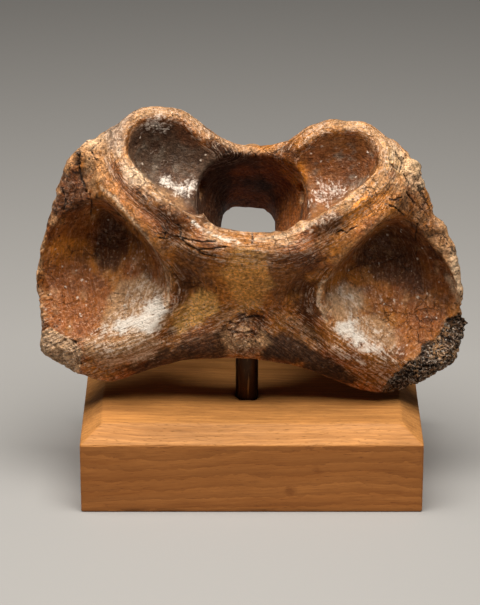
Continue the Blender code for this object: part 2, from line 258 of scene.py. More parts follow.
class Flow:
    """What a shader node gives out: a number, a place or a colour for each spot of the surface.

    Flows are added, taken off and multiplied as numbers are, and a | b is the larger of two.
    """

    def __init__(self, socket):
        self.socket, self.tree = socket, socket.id_data

    def worked(self, operation, other):
        """What arithmetic makes of this and the other."""
        return add_node(self.tree, "Math", {0: self, 1: other}, operation=operation)

    def __add__(self, other):
        return self.worked("ADD", other)

    def __sub__(self, other):
        return self.worked("SUBTRACT", other)

    def __mul__(self, other):
        return self.worked("MULTIPLY", other)

    def __or__(self, other):
        return self.worked("MAXIMUM", other)

    def levels(self, low, high, to_low=0, to_high=1):
        """Moved from the range low to high into the range to_low to to_high, and held there."""
        ends = {"Value": self, "From Min": low, "From Max": high, "To Min": to_low, "To Max": to_high}
        return add_node(self.tree, "MapRange", ends)

    def between(self, at_none, at_full):
        """The first value where this is 0, the second where it is 1."""
        return self.levels(0, 1, at_none, at_full)

    def tint(self, low, high):
        """The colour low where this is 0, high where it is 1."""
        low, high = (colour if isinstance(colour, Flow) else (*colour, 1) for colour in (low, high))
        return add_node(self.tree, "Mix", {0: self, 6: low, 7: high}, 2, data_type="RGBA")

    def scaled(self, factor):
        """This place or colour, all its parts times the factor."""
        return add_node(self.tree, "VectorMath", {0: self, "Scale": factor}, operation="SCALE")

    def moved(self, shift):
        """This place, shifted."""
        return add_node(self.tree, "VectorMath", {0: self, 1: shift})

    def mapped(self, **changes):
        """This place, turned, shifted or stretched to lay a pattern."""
        return add_node(self.tree, "Mapping", {"Vector": self, **changes})

    def noise(self, scale, detail=3, roughness=0.5, output=0):
        """Cloudy noise at this place, from 0 to 1."""
        made = {"Vector": self, "Scale": scale, "Detail": detail, "Roughness": roughness}
        return add_node(self.tree, "TexNoise", made, output)

    def cells(self, scale, feature="F1"):
        """The distance to the nearest of many scattered points, or to the edge between two of them."""
        return add_node(self.tree, "TexVoronoi", {"Vector": self, "Scale": scale}, "Distance", feature=feature)

    def bumped(self, strength, depth):
        """The way a surface faces that this height stands on."""
        return add_node(self.tree, "Bump", {"Height": self, "Strength": strength, "Distance": depth})


def feed(node, inputs):
    """Sets each named input to its value, or links it to the flow that it follows."""
    for name, value in inputs.items():
        if isinstance(value, Flow):
            value.tree.links.new(value.socket, node.inputs[name])
        else:
            node.inputs[name].default_value = value


def add_node(tree, kind, inputs=None, output=0, **settings):
    """The flow out of one new shader node, with its settings by keyword."""
    node = tree.nodes.new("ShaderNode" + kind)
    for name, value in settings.items():
        setattr(node, name, value)
    feed(node, inputs or {})
    return Flow(node.outputs[output])


def new_finish(name, **shader_values):
    """A material with its shader, whose single values are set on its sockets, and the place on the object."""
    made = bpy.data.materials.new(name)
    made.use_nodes = True
    shader = made.node_tree.nodes["Principled BSDF"]
    feed(shader, {key.replace("_", " "): value for key, value in shader_values.items()})
    return made, shader, add_node(made.node_tree, "TexCoord", output="Object")


def kept(tree, name, output="Fac"):
    """What the mesh keeps at its points under the name."""
    return add_node(tree, "Attribute", output=output, attribute_name=name)


def cut_wood():
    """Yearly rings as warped cylinders round a heart that slopes through the board, fine fibres and open pores
    stretched along the grain, and a few small knots."""
    made, shader, place = new_finish("oiled_wood", Roughness=0.6, Specular_IOR_Level=0.22)
    heart = place.mapped(Location=HEART_AT, Rotation=HEART_SLOPE)
    sway = place.mapped(Scale=(0.3, 1, 1))
    warped = heart.moved(sway.noise(28, 2, output="Color").scaled(0.012))
    rings = add_node(place.tree, "TexWave", {
        "Vector": warped, "Scale": RING_SCALE, "Distortion": 2.2, "Detail": 3, "Detail Scale": 1.6,
    }, 1, wave_type="RINGS", rings_direction="X", wave_profile="SAW")
    along = warped.mapped(Scale=(0.05, 1, 1))
    fibres = along.noise(WOOD_FIBRE_SCALE, 3, 0.6)
    streaks = along.noise(STREAK_SCALE, 3, 0.55)
    open_pores = warped.mapped(Scale=(0.12, 1, 1)).noise(PORE_SCALE, 1).levels(0.66, 0.74)
    side_shade = kept(place.tree, "side_shade")
    colour = rings.levels(0.1, 0.95, 0, 0.34).tint(WOOD_LIGHT, WOOD_DARK)
    colour = streaks.levels(0.42, 0.68, 0, 0.5).tint(colour, WOOD_DARK)
    colour = colour.scaled(sway.noise(60).levels(0.3, 0.7, 0.84, 1.14))
    colour = colour.scaled(fibres.levels(0.35, 0.65, 0.84, 1.14))
    colour = colour.scaled(open_pores.between(1, 0.62))
    for knot, radius in KNOTS:
        gap = add_node(place.tree, "VectorMath", {0: place, 1: [v * MM for v in knot]}, 1, operation="DISTANCE")
        gap += place.noise(500) * 0.0035
        stained = gap.levels((radius + 1.2) * MM, (radius + 3.4) * MM, 0.5, 0)
        colour = stained.tint(colour, [c * 0.3 for c in WOOD_DARK])
    # Painted shade: the block's sides and ends are darker and redder than its top.
    colour = side_shade.between(0, 0.42).tint(colour, WOOD_SIDE_SHADE)
    feed(shader, {
        "Base Color": colour.scaled((rings + side_shade.between(-1, 0)).levels(0, 0.95, 1.05, 0.9)),
        "Roughness": streaks.levels(0.3, 0.7, 0.55, 0.7),
        "Normal": (fibres * 0.5 + open_pores * -0.8).bumped(0.5, 0.00025),
    })
    return made


wooden_block = solid_of("wooden_block", block_shape())
move_points(wooden_block.data, wear_block(points_of(wooden_block.data), normals_of(wooden_block.data)))
# Painted shade mask: the faces that do not face up, the block's sides and ends.
store(wooden_block.data, "side_shade", ramp(normals_of(wooden_block.data)[:, 2], 0.6, 0.2))
wooden_block.data.shade_smooth()
wooden_block.data.materials.append(cut_wood())
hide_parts("stand_block")
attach(wooden_block, "root")


# The rod: a length of brass bar, browned with age, pushed into the drilled sockets of the block and the bone.
# Its ends are chamfered, and it keeps the faint rings and scratches of the lathe and of handling.
ROD_FOOT = 20.0
ROD_LENGTH = 51.0
ROD_RADIUS = 4.9
ROD_CHAMFER = 0.6
RUBBED_SCALE, PATINA_SCALE = 900, 160
PATINA = (0.038, 0.016, 0.005)
DEEP_PATINA = (0.022, 0.010, 0.005)
BARE_BRASS = (0.42, 0.25, 0.10)


def around(sides):
    """The angles of a circle's points."""
    return np.linspace(0, 2 * math.pi, sides, endpoint=False)


def rod_shape():
    """A round bar: a profile of radius and height, carried round the axis."""
    end = np.array([0, ROD_CHAMFER / 2, ROD_CHAMFER])
    z = np.concatenate([end, np.linspace(1.5, ROD_LENGTH - 1.5, 30), ROD_LENGTH - end[::-1]])
    radius = ROD_RADIUS - np.maximum(ROD_CHAMFER - np.minimum(z, ROD_LENGTH - z), 0)
    turn = around(96)
    return skin(np.stack([
        ROD_AT[0] + np.outer(radius, np.cos(turn)), ROD_AT[1] + np.outer(radius, np.sin(turn)),
        np.repeat((ROD_FOOT + z)[:, None], len(turn), axis=1),
    ], axis=-1))


def browned_brass():
    """Brown patina over brass: cloudy dark stains, rubbed streaks along the bar where the metal shows."""
    made, shader, place = new_finish("browned_brass", Metallic=0.85)
    rubbed = place.mapped(Scale=(1, 1, 0.06)).noise(RUBBED_SCALE, 3, 0.6)
    cloud = place.noise(PATINA_SCALE, 4, 0.6)
    colour = cloud.levels(0.35, 0.7).tint(PATINA, DEEP_PATINA)
    feed(shader, {
        "Base Color": rubbed.levels(0.58, 0.75, 0, 0.5).tint(colour, BARE_BRASS),
        "Roughness": cloud.levels(0.3, 0.7, 0.24, 0.42),
        "Normal": rubbed.bumped(0.35, 0.0001),
    })
    return made


metal_rod = solid_of("metal_rod", rod_shape())
metal_rod.data.shade_smooth()
metal_rod.data.materials.append(browned_brass())
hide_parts("stand_rod")
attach(metal_rod, "root")


# The bone: a fossil atlas, stained brown in the ground, cleaned and varnished, glued on the rod. Two cups carry the
# skull's condyles, the ring between them holds the spinal cord, and a broad wing stands off each side, hollowed
# underneath. The tips of the wings are broken and show their spongy inside.

# The bone's own frame: millimetres, X to the side, +Y dorsal, +Z to the skull, origin in the middle of the canal.
# A side is -1 for the left, 1 for the right. On the rod, the bone leans to the viewer and is a little out of level.
SIDES = (-1, 1)
BONE_LEAN = math.radians(34)
BONE_ROLL = math.radians(3)
BONE_AT = (-0.6, -13.5, 133.6)
MM_PER_PIXEL = 0.42
FOSSA_OUT = np.array([0, -0.545, 0.839])
FOSSA_UP = np.array([0, 0.839, 0.545])
FOSSA_BOTTOM = np.array([59, 5.5, -34.5])
CUP_OUT = np.array([0, 0.05, 1])
CUP_BOTTOM = np.array([36, 7, -6])
CUP_BACK = np.array([38, 0, -34])
WING_THICK = 7.0
WING_MARGIN = 0.6
CUP_WALL = 4.5
CUP_EDGE = 2.8
MASS_FINENESS = 1.5 * MM
MASS_SMOOTHING = 12
BONE_FINENESS = 1.27 * MM
BONE_SMOOTHING = 4


def flowing(points, closed=False, per_span=6):
    """A curve through the points: each span is the cubic whose slope at a point is half the step between its
    neighbours."""
    p = np.array(points, float)
    p = np.vstack([p[-1], p, p[:2]]) if closed else np.vstack([2 * p[0] - p[1], p, 2 * p[-1] - p[-2]])
    a, b, c, d = (p[k:len(p) - 3 + k, None] for k in range(4))
    t = np.linspace(0, 1, per_span, endpoint=False)[None, :, None]
    curve = 0.5 * (2 * b + (c - a) * t + (2 * a - 5 * b + 4 * c - d) * t**2 + (3 * b - a - 3 * c + d) * t**3)
    curve = curve.reshape(-1, p.shape[1])
    return curve if closed else np.vstack([curve, p[-2]])


def ridge(points, sides=16):
    """A round ridge of bone along a path of (x, y, z, radius): circles square to the path's direction.

    The circles start from the direction that the whole path runs least along, so that they don't turn over.
    """
    path = flowing(points)
    along = np.gradient(path[:, :3], axis=0)
    along /= np.linalg.norm(along, axis=1)[:, None]
    across = np.cross(along, np.linalg.svd(along)[2][-1])
    across /= np.linalg.norm(across, axis=1)[:, None]
    lift = np.cross(along, across)
    turn = around(sides)[None, :, None]
    return skin(path[:, None, :3] + path[:, None, 3:] * (np.cos(turn) * across[:, None] + np.sin(turn) * lift[:, None]))


def swelling(centre, radii, sides=28):
    """An ellipsoid: level circles whose radius is the cosine of their height's angle, stretched by the radii."""
    turn = around(sides)[None, :]
    rise = np.linspace(-0.46 * math.pi, 0.46 * math.pi, 16)[:, None]
    ball = np.stack([np.cos(turn) * np.cos(rise), np.sin(turn) * np.cos(rise), np.sin(rise) + 0 * turn], axis=-1)
    return skin(np.array(centre) + ball * radii)


def tube(sections, sides=56):
    """A body over level sections of (z, middle x, half width, low y, high y, power), each drawn as a superellipse:
    the power-th powers of both distances from the middle add up to one."""
    turn = around(sides)
    z, middle, half, low, high, power = flowing(sections).T[:, :, None]
    x = np.sign(np.cos(turn)) * abs(np.cos(turn)) ** (2 / power)
    y = np.sign(np.sin(turn)) * abs(np.sin(turn)) ** (2 / power)
    return skin(np.stack([middle + x * half, (low + high) / 2 + y * (high - low) / 2, z + 0 * x], axis=-1))


def bowl(rim, bottom, out, lid, behind=0.0, grow=0.0):
    """A body between a bowl and a lid. Seen along out, the bowl's rings shrink evenly from the rim to the bottom,
    and their height falls as the distance's power of the steepness, the fourth value of each rim point.

    The lid stands off the rim by lid. behind moves the bowl's wall back, and grow widens the rim.
    """
    out = out / np.linalg.norm(out)
    curve = flowing(rim, closed=True)
    spoke = curve[:, :3] - bottom
    height = spoke @ out
    flat = spoke - np.outer(height, out)
    reach = np.linalg.norm(flat, axis=1)[:, None]
    flat *= (reach + grow) / reach
    share = np.linspace(0, 1, 14)[1:, None]
    lift = height * share ** curve[:, 3] - behind
    rings = bottom + flat * share[..., None] + lift[..., None] * out
    top = bottom + flat + np.outer(height + lid, out)
    return skin(np.concatenate([rings, top[None]]), bottom - out * behind, bottom + out * (height.max() + lid))


def mirrored(points, side):
    """The points, with x turned over for the left side."""
    return [(side * p[0], *p[1:]) for p in points]


def both(points):
    """The points for the left side and for the right side."""
    return [mirrored(points, side) for side in SIDES]


WING_BORDERS = {
    -1: [
        (-54, 19, 8, 8), (-64, 15, 5.5, 6.5), (-71, 12.5, 1.5, 6), (-75.5, 7.5, -5, 5), (-78.5, 1, -12, 5),
        (-81.5, -7, -21, 4.5), (-84, -15, -31, 4.5), (-84.5, -23, -41, 4.5), (-82.5, -31, -50.5, 4.5),
        (-79, -38, -59, 6), (-69, -43, -65.5, 7), (-57, -45, -70, 6.5),
    ],
    1: [
        (54, 20, 8, 8), (61, 16, 5, 7), (67, 10, -1, 6), (73, 4, -9.5, 5), (80.5, -3.5, -17.5, 5),
        (86, -9.5, -26, 4.5), (88.5, -18, -36, 4.5), (90, -27, -46, 4.5), (89, -35, -55.5, 5),
        (82, -40, -61.5, 5.5), (71, -43.5, -65.5, 6), (59, -45, -69, 6.5),
    ],
}
TAIL_BORDER = [(46, -41.3, -66, 8), (34, -38.7, -60, 9), (20, -37.7, -55, 9.5), (-3, -37.7, -51.5, 9.5)]
FOSSA_RIMS = {
    -1: [
        (-62, -5, -2, 2.6), (-69, -2, -7, 2.2), (-77, -3, -15, 1.6), (-84.5, -9, -25, 1.3), (-88.5, -18, -36, 1.3),
        (-87.5, -27, -48, 1.3), (-79, -39, -54.5, 1.4), (-65, -45, -52.7, 1.4), (-51, -45.6, -46, 1.4),
        (-41, -42.8, -39.3, 1.2), (-34, -36, -34, 1.1), (-32, -29, -28, 1.2), (-35.5, -23, -18, 1.7),
        (-44, -17, -10, 3.2), (-54, -10, -4, 3),
    ],
    1: [
        (61, -5, -3, 2.6), (68, -2, -10, 2.2), (77, -6, -20, 1.6), (86, -12, -30, 1.3), (92, -21, -41, 1.3),
        (93, -30, -52, 1.3), (84, -40, -56.5, 1.4), (70, -45.8, -53.8, 1.4), (55, -46.6, -46, 1.4),
        (43, -43.3, -39.8, 1.2), (36, -36.5, -35, 1.1), (33.5, -28.5, -29, 1.2), (36.5, -22.5, -19, 1.7),
        (44, -17, -11, 3.2), (54, -9, -4, 3),
    ],
}


def cup_rim(side):
    """The edge of the hollow for the skull's condyle: x, y, z, steepness. The left one stands a little higher and
    reaches further over the canal."""
    rise, inward = (1.9, 5.0) if side < 0 else (0.0, 0.0)
    return mirrored([
        (17 - inward, 20.5, 1, 2.0), (23, 24 + rise / 2, 8, 2.2), (30, 26.8 + rise, 13, 2.6),
        (38, 26.8 + rise, 15.5, 2.8), (47, 25.3 + rise, 16, 2.8), (54, 19.5 + rise, 14, 2.6), (55.5, 10, 12, 2.4),
        (51, 0, 11, 2.4), (43.5, -8, 11, 2.2), (35, -14, 9, 2.0), (26, -17.5, 4, 2.0),
        (20.5 - inward * 0.2, -15, -1, 1.8), (19 - inward * 0.55, -6, -5, 1.6), (18 - inward * 0.5, 5, -6, 1.6),
        (16.5 - inward, 14, -4, 1.8),
    ], side)


def half_bone(side):
    """The bodies that one side of the bone is fused from."""
    out = np.array([side, 1, 1])
    return [
        ridge(WING_BORDERS[side] + mirrored(TAIL_BORDER, side)),
        # Shoulder between the cup and the wing's front border.
        ridge(mirrored([(48, 14, -4, 10), (60, 8, -5, 8.5), (70, 3, -11, 7), (77, -4, -20, 5)], side)),
        # Crest between the wing's hollow and its tail margin.
        ridge(mirrored([(76, -38, -59, 6), (64, -41, -59, 7.5), (50, -41.5, -53, 8.5), (38, -39, -46, 8)], side)),
        bowl(FOSSA_RIMS[side], FOSSA_BOTTOM * out, FOSSA_OUT, 1.5, WING_THICK, WING_MARGIN),
        # Bone between the cup and the arch over the canal.
        ridge(mirrored([(4, 24, -5, 4), (17, 25, -1, 5), (26, 28, 6, 5), (36, 28.5, 10, 5)], side)),
        # Lobe of the cup, narrowing to the waist of the side mass, and the pillar under it.
        bowl(cup_rim(side), CUP_BACK * out, CUP_OUT, 1.0, 0.0, CUP_WALL),
        swelling(np.array([35, -14.5, -8]) * out, (14, 10, 12)),
        ridge(mirrored([(58, 9, 4, 7), (60, 2, 2, 6), (52, -8, 1, 6.5), (42, -15.5, -3, 8), (36, -21, -14, 8)], side)),
        ridge(mirrored([(40, -12, -24, 12), (42, -18, -38, 12), (46, -27, -49, 11), (50, -35, -56, 9)], side), 20),
        ridge(mirrored([
            (38, -20, -15, 4), (33.5, -26, -26, 5), (33, -32, -35, 6), (36, -34.5, -42, 7), (42, -37, -47, 8),
        ], side)),
    ]


def middle_of_bone():
    """The ring round the canal, the rough knob under its tail end, the low one on its back, a broken wing tip."""
    return [
        tube([
            (0, 0, 36, -27, 25.5, 2.8), (-6, 0, 42, -29.5, 29.5, 2.8), (-14, 0, 41, -32, 33, 2.8),
            (-24, 0, 37, -34, 35.5, 2.8), (-34, 0, 36, -36, 36, 2.8), (-44, 0, 42, -40, 34, 2.8),
            (-53, 0, 51, -44, 28, 2.8), (-61, 0, 54, -44, 20, 2.8),
        ]),
        swelling((-1, -43, -45), (7.5, 7, 10)),
        swelling((0, 32, -26), (9, 6.5, 17)),
        swelling((-79, -40, -61), (8, 6.5, 8)),
    ]


def hollows():
    """What is taken out of the bone, a list of bodies for each cut."""
    yield "canal", [tube([
        (40, 0, 23, -22, 60, 2.5), (8, 1, 22, -20, 31, 2.5), (1, 1, 21.5, -18.5, 21.5, 2.7),
        (-8, 1, 23.5, -18.5, 22.5, 2.8), (-24, 0.7, 20, -20, 25.5, 3.0), (-40, 0.8, 12.4, -21, 27.5, 3.8),
        (-52, 0.5, 13.2, -22, 29, 3.8), (-62, 0, 19, -24, 29.5, 3.2), (-90, 0, 28, -26, 34, 3),
    ])]
    yield "peg_hollow", [swelling((0, -17, -66), (16, 8.5, 26))]
    yield "tail_faces", [swelling((side * 36, -12, -84), (21, 29, 25)) for side in SIDES]
    yield "cups", [bowl(cup_rim(side), CUP_BOTTOM * (side, 1, 1), CUP_OUT, 25, 0.0, -CUP_EDGE) for side in SIDES]
    yield "fossae", [bowl(FOSSA_RIMS[side], FOSSA_BOTTOM * (side, 1, 1), FOSSA_OUT, 40) for side in SIDES]
    for name, path in (
        ("nerve_openings", [(14, 10, -17, 4.5), (34, 19, -15, 4), (52, 33, -12, 5.5)]),
        ("wing_openings", [(57, 30, -8, 5), (54, 8, -13, 4.5), (50, -12, -18, 4.5)]),
        ("belly_hollows", [(32, -28, -8, 3.5), (27, -32.5, -16, 6), (23.5, -35.5, -25, 8), (21, -40, -34, 4)]),
    ):
        yield name, [ridge(half) for half in both(path)]


def finished_copy(source, name):
    """A new object with the source's modifiers applied. The source is removed."""
    mesh = bpy.data.meshes.new_from_object(source.evaluated_get(bpy.context.evaluated_depsgraph_get()))
    bpy.data.objects.remove(source)
    return placed(name, mesh)


def fuse(body, fineness, smoothing):
    """Skins all bodies as one with small even faces, and lets them run into each other softly."""
    melted = body.modifiers.new("Fuse", "REMESH")
    melted.mode = "VOXEL"
    melted.voxel_size = fineness
    soft = body.modifiers.new("Soften", "SMOOTH")
    soft.factor = 0.5
    soft.iterations = smoothing


def edge_ends(mesh):
    """The numbers of each edge's two points."""
    return read_all(mesh.edges, "vertices", 2, int).T


def drop_crumbs(mesh):
    """Keeps the piece with the most points: each point takes the lowest number that its edges reach."""
    a, b = edge_ends(mesh)
    label = np.arange(len(mesh.vertices))
    before = None
    while not np.array_equal(before, label):
        before = label.copy()
        lower = np.minimum(label[a], label[b])
        np.minimum.at(label, a, lower)
        np.minimum.at(label, b, lower)
        label = label[label]
    keep = np.bincount(label).argmax()
    reworked(mesh, lambda opened: bmesh.ops.delete(
        opened, geom=[point for point, n in zip(opened.verts, label) if n != keep], context="VERTS"))


mass = solid_of("mass", *half_bone(-1), *half_bone(1), *middle_of_bone())
fuse(mass, MASS_FINENESS, MASS_SMOOTHING)
mass = finished_copy(mass, "mass")
cutters = [solid_of(name, *shapes) for name, shapes in hollows()]
for cutter in cutters:
    cut = mass.modifiers.new("Hollow", "BOOLEAN")
    cut.operation = "DIFFERENCE"
    cut.object = cutter
fuse(mass, BONE_FINENESS, BONE_SMOOTHING)
atlas = finished_copy(mass, "atlas_bone")
for cutter in cutters:
    bpy.data.objects.remove(cutter)
drop_crumbs(atlas.data)
pose = Matrix.Rotation(BONE_ROLL, 3, "Y") @ Matrix.Rotation(BONE_LEAN, 3, "X")
pose_turn = np.array(pose)
atlas.data.transform(Matrix.Translation([v * MM for v in BONE_AT]) @ pose.to_4x4())
atlas.data.shade_smooth()
atlas.data.materials.clear()


def spread(values, ends, rounds):
    """Each round, every point takes the mean of its neighbours' values."""
    first, second = ends
    count = np.bincount(np.concatenate(ends), minlength=len(values))
    for _ in range(rounds):
        total = np.column_stack([
            np.bincount(first, column[second], len(values)) + np.bincount(second, column[first], len(values))
            for column in values.reshape(len(values), -1).T
        ])
        values = (total / count[:, None]).reshape(values.shape)
    return values


def in_bone(places):
    """From millimetres in the world to the bone's own frame."""
    return (places - BONE_AT) @ pose_turn


def gap_to(path, places):
    """Distance from each place to the nearest point of a path of straight pieces."""
    gap = np.full(len(places), 1e9)
    for start, end in zip(path, path[1:]):
        span = end - start
        share = np.clip((places - start) @ span / (span @ span), 0, 1)
        gap = np.minimum(gap, np.linalg.norm(places - start - share[:, None] * span, axis=1))
    return gap


def inside(loop, places):
    """How far inside a closed flat loop each place is: the distance to its nearest side, below nought outside.

    A place is inside where a line from it to one side crosses the loop an odd number of times.
    """
    ring = np.reshape(loop, (-1, 2)).astype(float)
    ring = np.vstack([ring, ring[:1]])
    odd = np.zeros(len(places), bool)
    for start, end in zip(ring, ring[1:]):
        span = end - start
        crossed = (start[1] > places[:, 1]) != (end[1] > places[:, 1])
        odd ^= crossed & (places[:, 0] < start[0] + (places[:, 1] - start[1]) * span[0] / (span[1] or 1e-9))
    return np.where(odd, 1, -1) * gap_to(ring, places)


def gap_to_lines(lines, closed=False):
    """Distance from each point of the bone to the nearest of some flowing lines in the bone's frame."""
    return np.min([gap_to(flowing(line, closed)[:, :3], local) for line in lines], axis=0)


def seen(places):
    """The picture pixel at which each place is seen."""
    way = places * MM - eye
    depth = -way @ view_back
    return np.column_stack([
        PICTURE_WIDTH / 2 + LENS_PIXELS * (way @ view_right) / depth,
        PICTURE_HEIGHT / 2 - LENS_PIXELS * (way @ view_up) / depth,
    ])


def under_pixels(pixels, step=5.0):
    """The places on the bone that are seen along a line of picture pixels, and the mean way they face."""
    turns = np.reshape(pixels, (-1, 2)).astype(float)
    line = [turns[:1]]
    for start, end in zip(turns, turns[1:]):
        count = max(1, int(np.linalg.norm(end - start) / step))
        line.append(start + (end - start) * np.linspace(0, 1, count + 1)[1:, None])
    hits, facing = [], []
    for x, y in np.vstack(line):
        way = view_right * (x - PICTURE_WIDTH / 2) + view_up * (PICTURE_HEIGHT / 2 - y) - view_back * LENS_PIXELS
        found, place, normal, _ = atlas.ray_cast(Vector(eye), Vector(way).normalized())
        if found:
            hits.append(np.array(place) / MM)
            facing.append(np.array(normal))
    return np.vstack([hits, hits[-1] + [0, 0, 0.01]]), np.mean(facing, axis=0)


def grains(places, size, seed):
    """Distance, in cells, to the nearest of the points scattered one to a cell."""
    scattered = np.random.default_rng(seed).uniform(0.1, 0.9, (32, 32, 32, 3))
    cell = places / size + 100.5
    low = np.floor(cell).astype(int)
    nearest = np.full(len(places), 9.0)
    for shift in np.ndindex(3, 3, 3):
        at = low + np.array(shift) - 1
        nearest = np.minimum(nearest, np.linalg.norm(cell - at - scattered[tuple((at % 32).T)], axis=1))
    return nearest


CREST = [(80, -38, -58), (66, -43, -56), (50, -44, -48), (38, -41, -41), (31, -35, -34)]
LIP_ROOT = [(24, -17, 2), (20.5, -15, -1), (18, -11, -2), (19, -4, -4)]
ROUNDING_TIMES = 6

# Bone has no sharp turns where the crests of the wings and the root of the lip run out.
bpy.context.view_layer.update()
places = points_of(atlas.data)
local = in_bone(places)
ends = edge_ends(atlas.data)
round_off = np.maximum(ramp(gap_to_lines(both(CREST)), 8, 3), ramp(gap_to_lines(both(LIP_ROOT)), 9, 4))[:, None]
for _ in range(ROUNDING_TIMES):
    places += (spread(places, ends, 3) - places) * round_off
move_points(atlas.data, places)


# Marks that show in the picture: lines and loops of its pixels, x,y after x,y. A crack also has its half width in
# millimetres.
CRACKS = [
    (0.7, [76,155, 77,163, 80,171, 81,178, 84,184, 86,192]), (0.5, [89,194, 92,203, 92,215]),
    (0.5, [160,238, 167,239, 174,236, 182,238, 190,240, 202,242, 215,241]),
    (0.45, [178,224, 181,231, 180,238, 186,244, 196,249, 210,249, 226,247]), (0.4, [196,249, 204,255, 216,256]),
    (0.4, [162,226, 166,232, 164,240]), (0.4, [252,233, 253,238, 252,243]),
    (0.4, [336,233, 341,230, 347,233, 351,229, 358,226]), (0.5, [389,158, 391,164, 397,170]),
    (0.4, [398,143, 402,150, 407,158]), (0.5, [390,199, 395,200, 403,197]), (0.6, [404,174, 409,182, 407,192, 413,202]),
    (0.5, [386,204, 397,208, 404,216]), (0.5, [418,186, 423,197, 430,208]), (0.5, [396,152, 402,162, 400,172]),
    (0.4, [96,142, 91,151, 96,160]), (0.4, [62,188, 66,202, 62,214]), (0.4, [417,224, 415,236, 417,248, 415,259]),
    (0.9, [62,341, 67,340, 75,342, 75,352, 80,364]), (0.8, [228,322, 236,325, 244,318, 258,316]),
    (0.8, [228,330, 240,334, 252,332, 262,337]), (0.7, [236,325, 232,334, 230,344]),
]
DEEP_HOLE = [76,153, 75,158, 76,163]
NERVE_PORE = [143,266, 146,271, 149,276]
RIGHT_BREAK = [445,320, 472,312, 476,345, 466,380, 430,400, 380,398, 383,388, 398,371, 416,357, 431,341, 443,330]
LEFT_BREAK = [30,340, 50,328, 63,336, 76,343, 82,352, 80,372, 60,372, 30,352]
KNOB_SCAR = [228,320, 240,313, 252,318, 264,314, 266,335, 262,352, 246,357, 231,353, 225,337]
CRUST = [408,158, 416,163, 424,172, 424,188, 412,186, 405,172]
# Where the border of a wing stands out or is knocked in: a pixel, and a radius and a height in millimetres.
KNOCKS = [
    (416,168, 5, 1.8), (428,196, 4, 0.8), (437,211, 4, -1.6), (448,222, 4, 0.9), (96,139, 4, -1), (74,158, 3, -0.8),
    (56,196, 4, -0.7), (40,300, 4, -0.8), (463,306, 3, -0.8),
]
CRUMBLY = [
    [72,150, 96,128, 116,116, 108,150, 100,190, 92,215, 66,232, 42,250, 46,205, 60,170],
    [392,150, 408,146, 428,168, 436,200, 454,225, 468,262, 468,306, 452,312, 442,262, 428,238, 408,226, 396,208,
        388,192, 394,168],
    [34,262, 44,262, 56,300, 58,332, 36,335],
    [150,186, 168,192, 184,204, 176,214, 160,206, 148,196],
    [335,208, 350,192, 372,183, 388,165, 396,178, 388,190, 365,204, 345,214],
]
PILLAR_EDGES = [
    [100,187, 114,198, 128,215, 140,229, 152,246, 164,268, 169,289, 167,307],
    [380,230, 363,242, 347,259, 334,274, 320,284, 318,302, 327,322],
]
LIP_EDGES = [
    [192,221, 202,229, 214,235, 226,240, 240,242],
    [256,239, 272,238, 288,234, 304,229, 316,222],
]
SHADED_UNDER = [
    [120,372, 160,350, 184,338, 226,330, 236,362, 190,372, 140,386],
    [262,332, 292,332, 322,350, 362,382, 336,386, 300,370, 262,364],
]
PITTED_RIM = [332,214, 346,194, 372,180, 388,160, 394,170, 388,190, 362,206, 344,216]
KNOB_LEDGE = [227,336, 236,338, 248,342, 264,335, 267,344, 250,352, 238,349, 233,360, 226,352]
# Lines of the bone that fibres and stains follow: the pillar under each cup, and the lip under the canal.
PILLAR = [(56, -9, -4), (44, -17, -11), (36, -23, -19), (31.5, -28, -28), (32, -34, -36)]
LIP = [(-30, -17, 5), (-17, -22, 0), (0, -24, 0), (17, -22, 0), (30, -17, 5)]
LEFT_FAN, RIGHT_FAN = math.radians(25), math.radians(33)
CRACK_REACH = 2.2
# How high the bone's relief stands and how deep it goes, in millimetres.
BROAD_SWELL, FINE_SWELL, CUP_SWELL = 0.32, 0.16, 0.08
FIBRE_HEIGHT, BAND_HEIGHT = 0.20, 0.26
EDGE_WEAR, EDGE_GRAIN = 0.45, 0.3
CRUMB_HEIGHT, CRUMB_PIT = 0.55, 0.6
BREAK_DEPTH, SPONGE_DEPTH, BREAK_RISE, SHARD_HEIGHT = 1.4, 1.3, 0.8, 0.7
KNOB_HEIGHT, KNOB_PIT, CRUST_HEIGHT = 0.9, 0.5, 0.8
CRACK_DEPTH, HOLE_DEPTH = 0.9, 3.0


def refine(mesh, mask, rounds):
    """Halves the faces where the mask of places and normals is set, again for each round."""
    for _ in range(rounds):
        chosen = mask(points_of(mesh), normals_of(mesh))
        reworked(mesh, lambda opened: bmesh.ops.subdivide_edges(
            opened, edges=[edge for edge in opened.edges if all(chosen[point.index] for point in edge.verts)],
            cuts=1, use_grid_fill=True))


def broken_places(places, normals):
    """Where the bone is broken or crusted, and the knob's scar on the side to the viewer."""
    picture = seen(places)
    broken = np.max([inside(loop, picture) for loop in (RIGHT_BREAK, LEFT_BREAK, CRUST)], axis=0) > -4
    return broken | ((inside(KNOB_SCAR, picture) > -3) & (normals @ view_back > 0))


def cracked_places(places, normals):
    """What lies beside a crack or in the deep hole, on the side that it is seen on."""
    lines = [line for _, line in cracks] + [deep_hole]
    gaps = [np.where(normals @ facing < 0, np.inf, gap_to(path, places)) for path, facing in lines]
    return np.min(gaps, axis=0) < CRACK_REACH


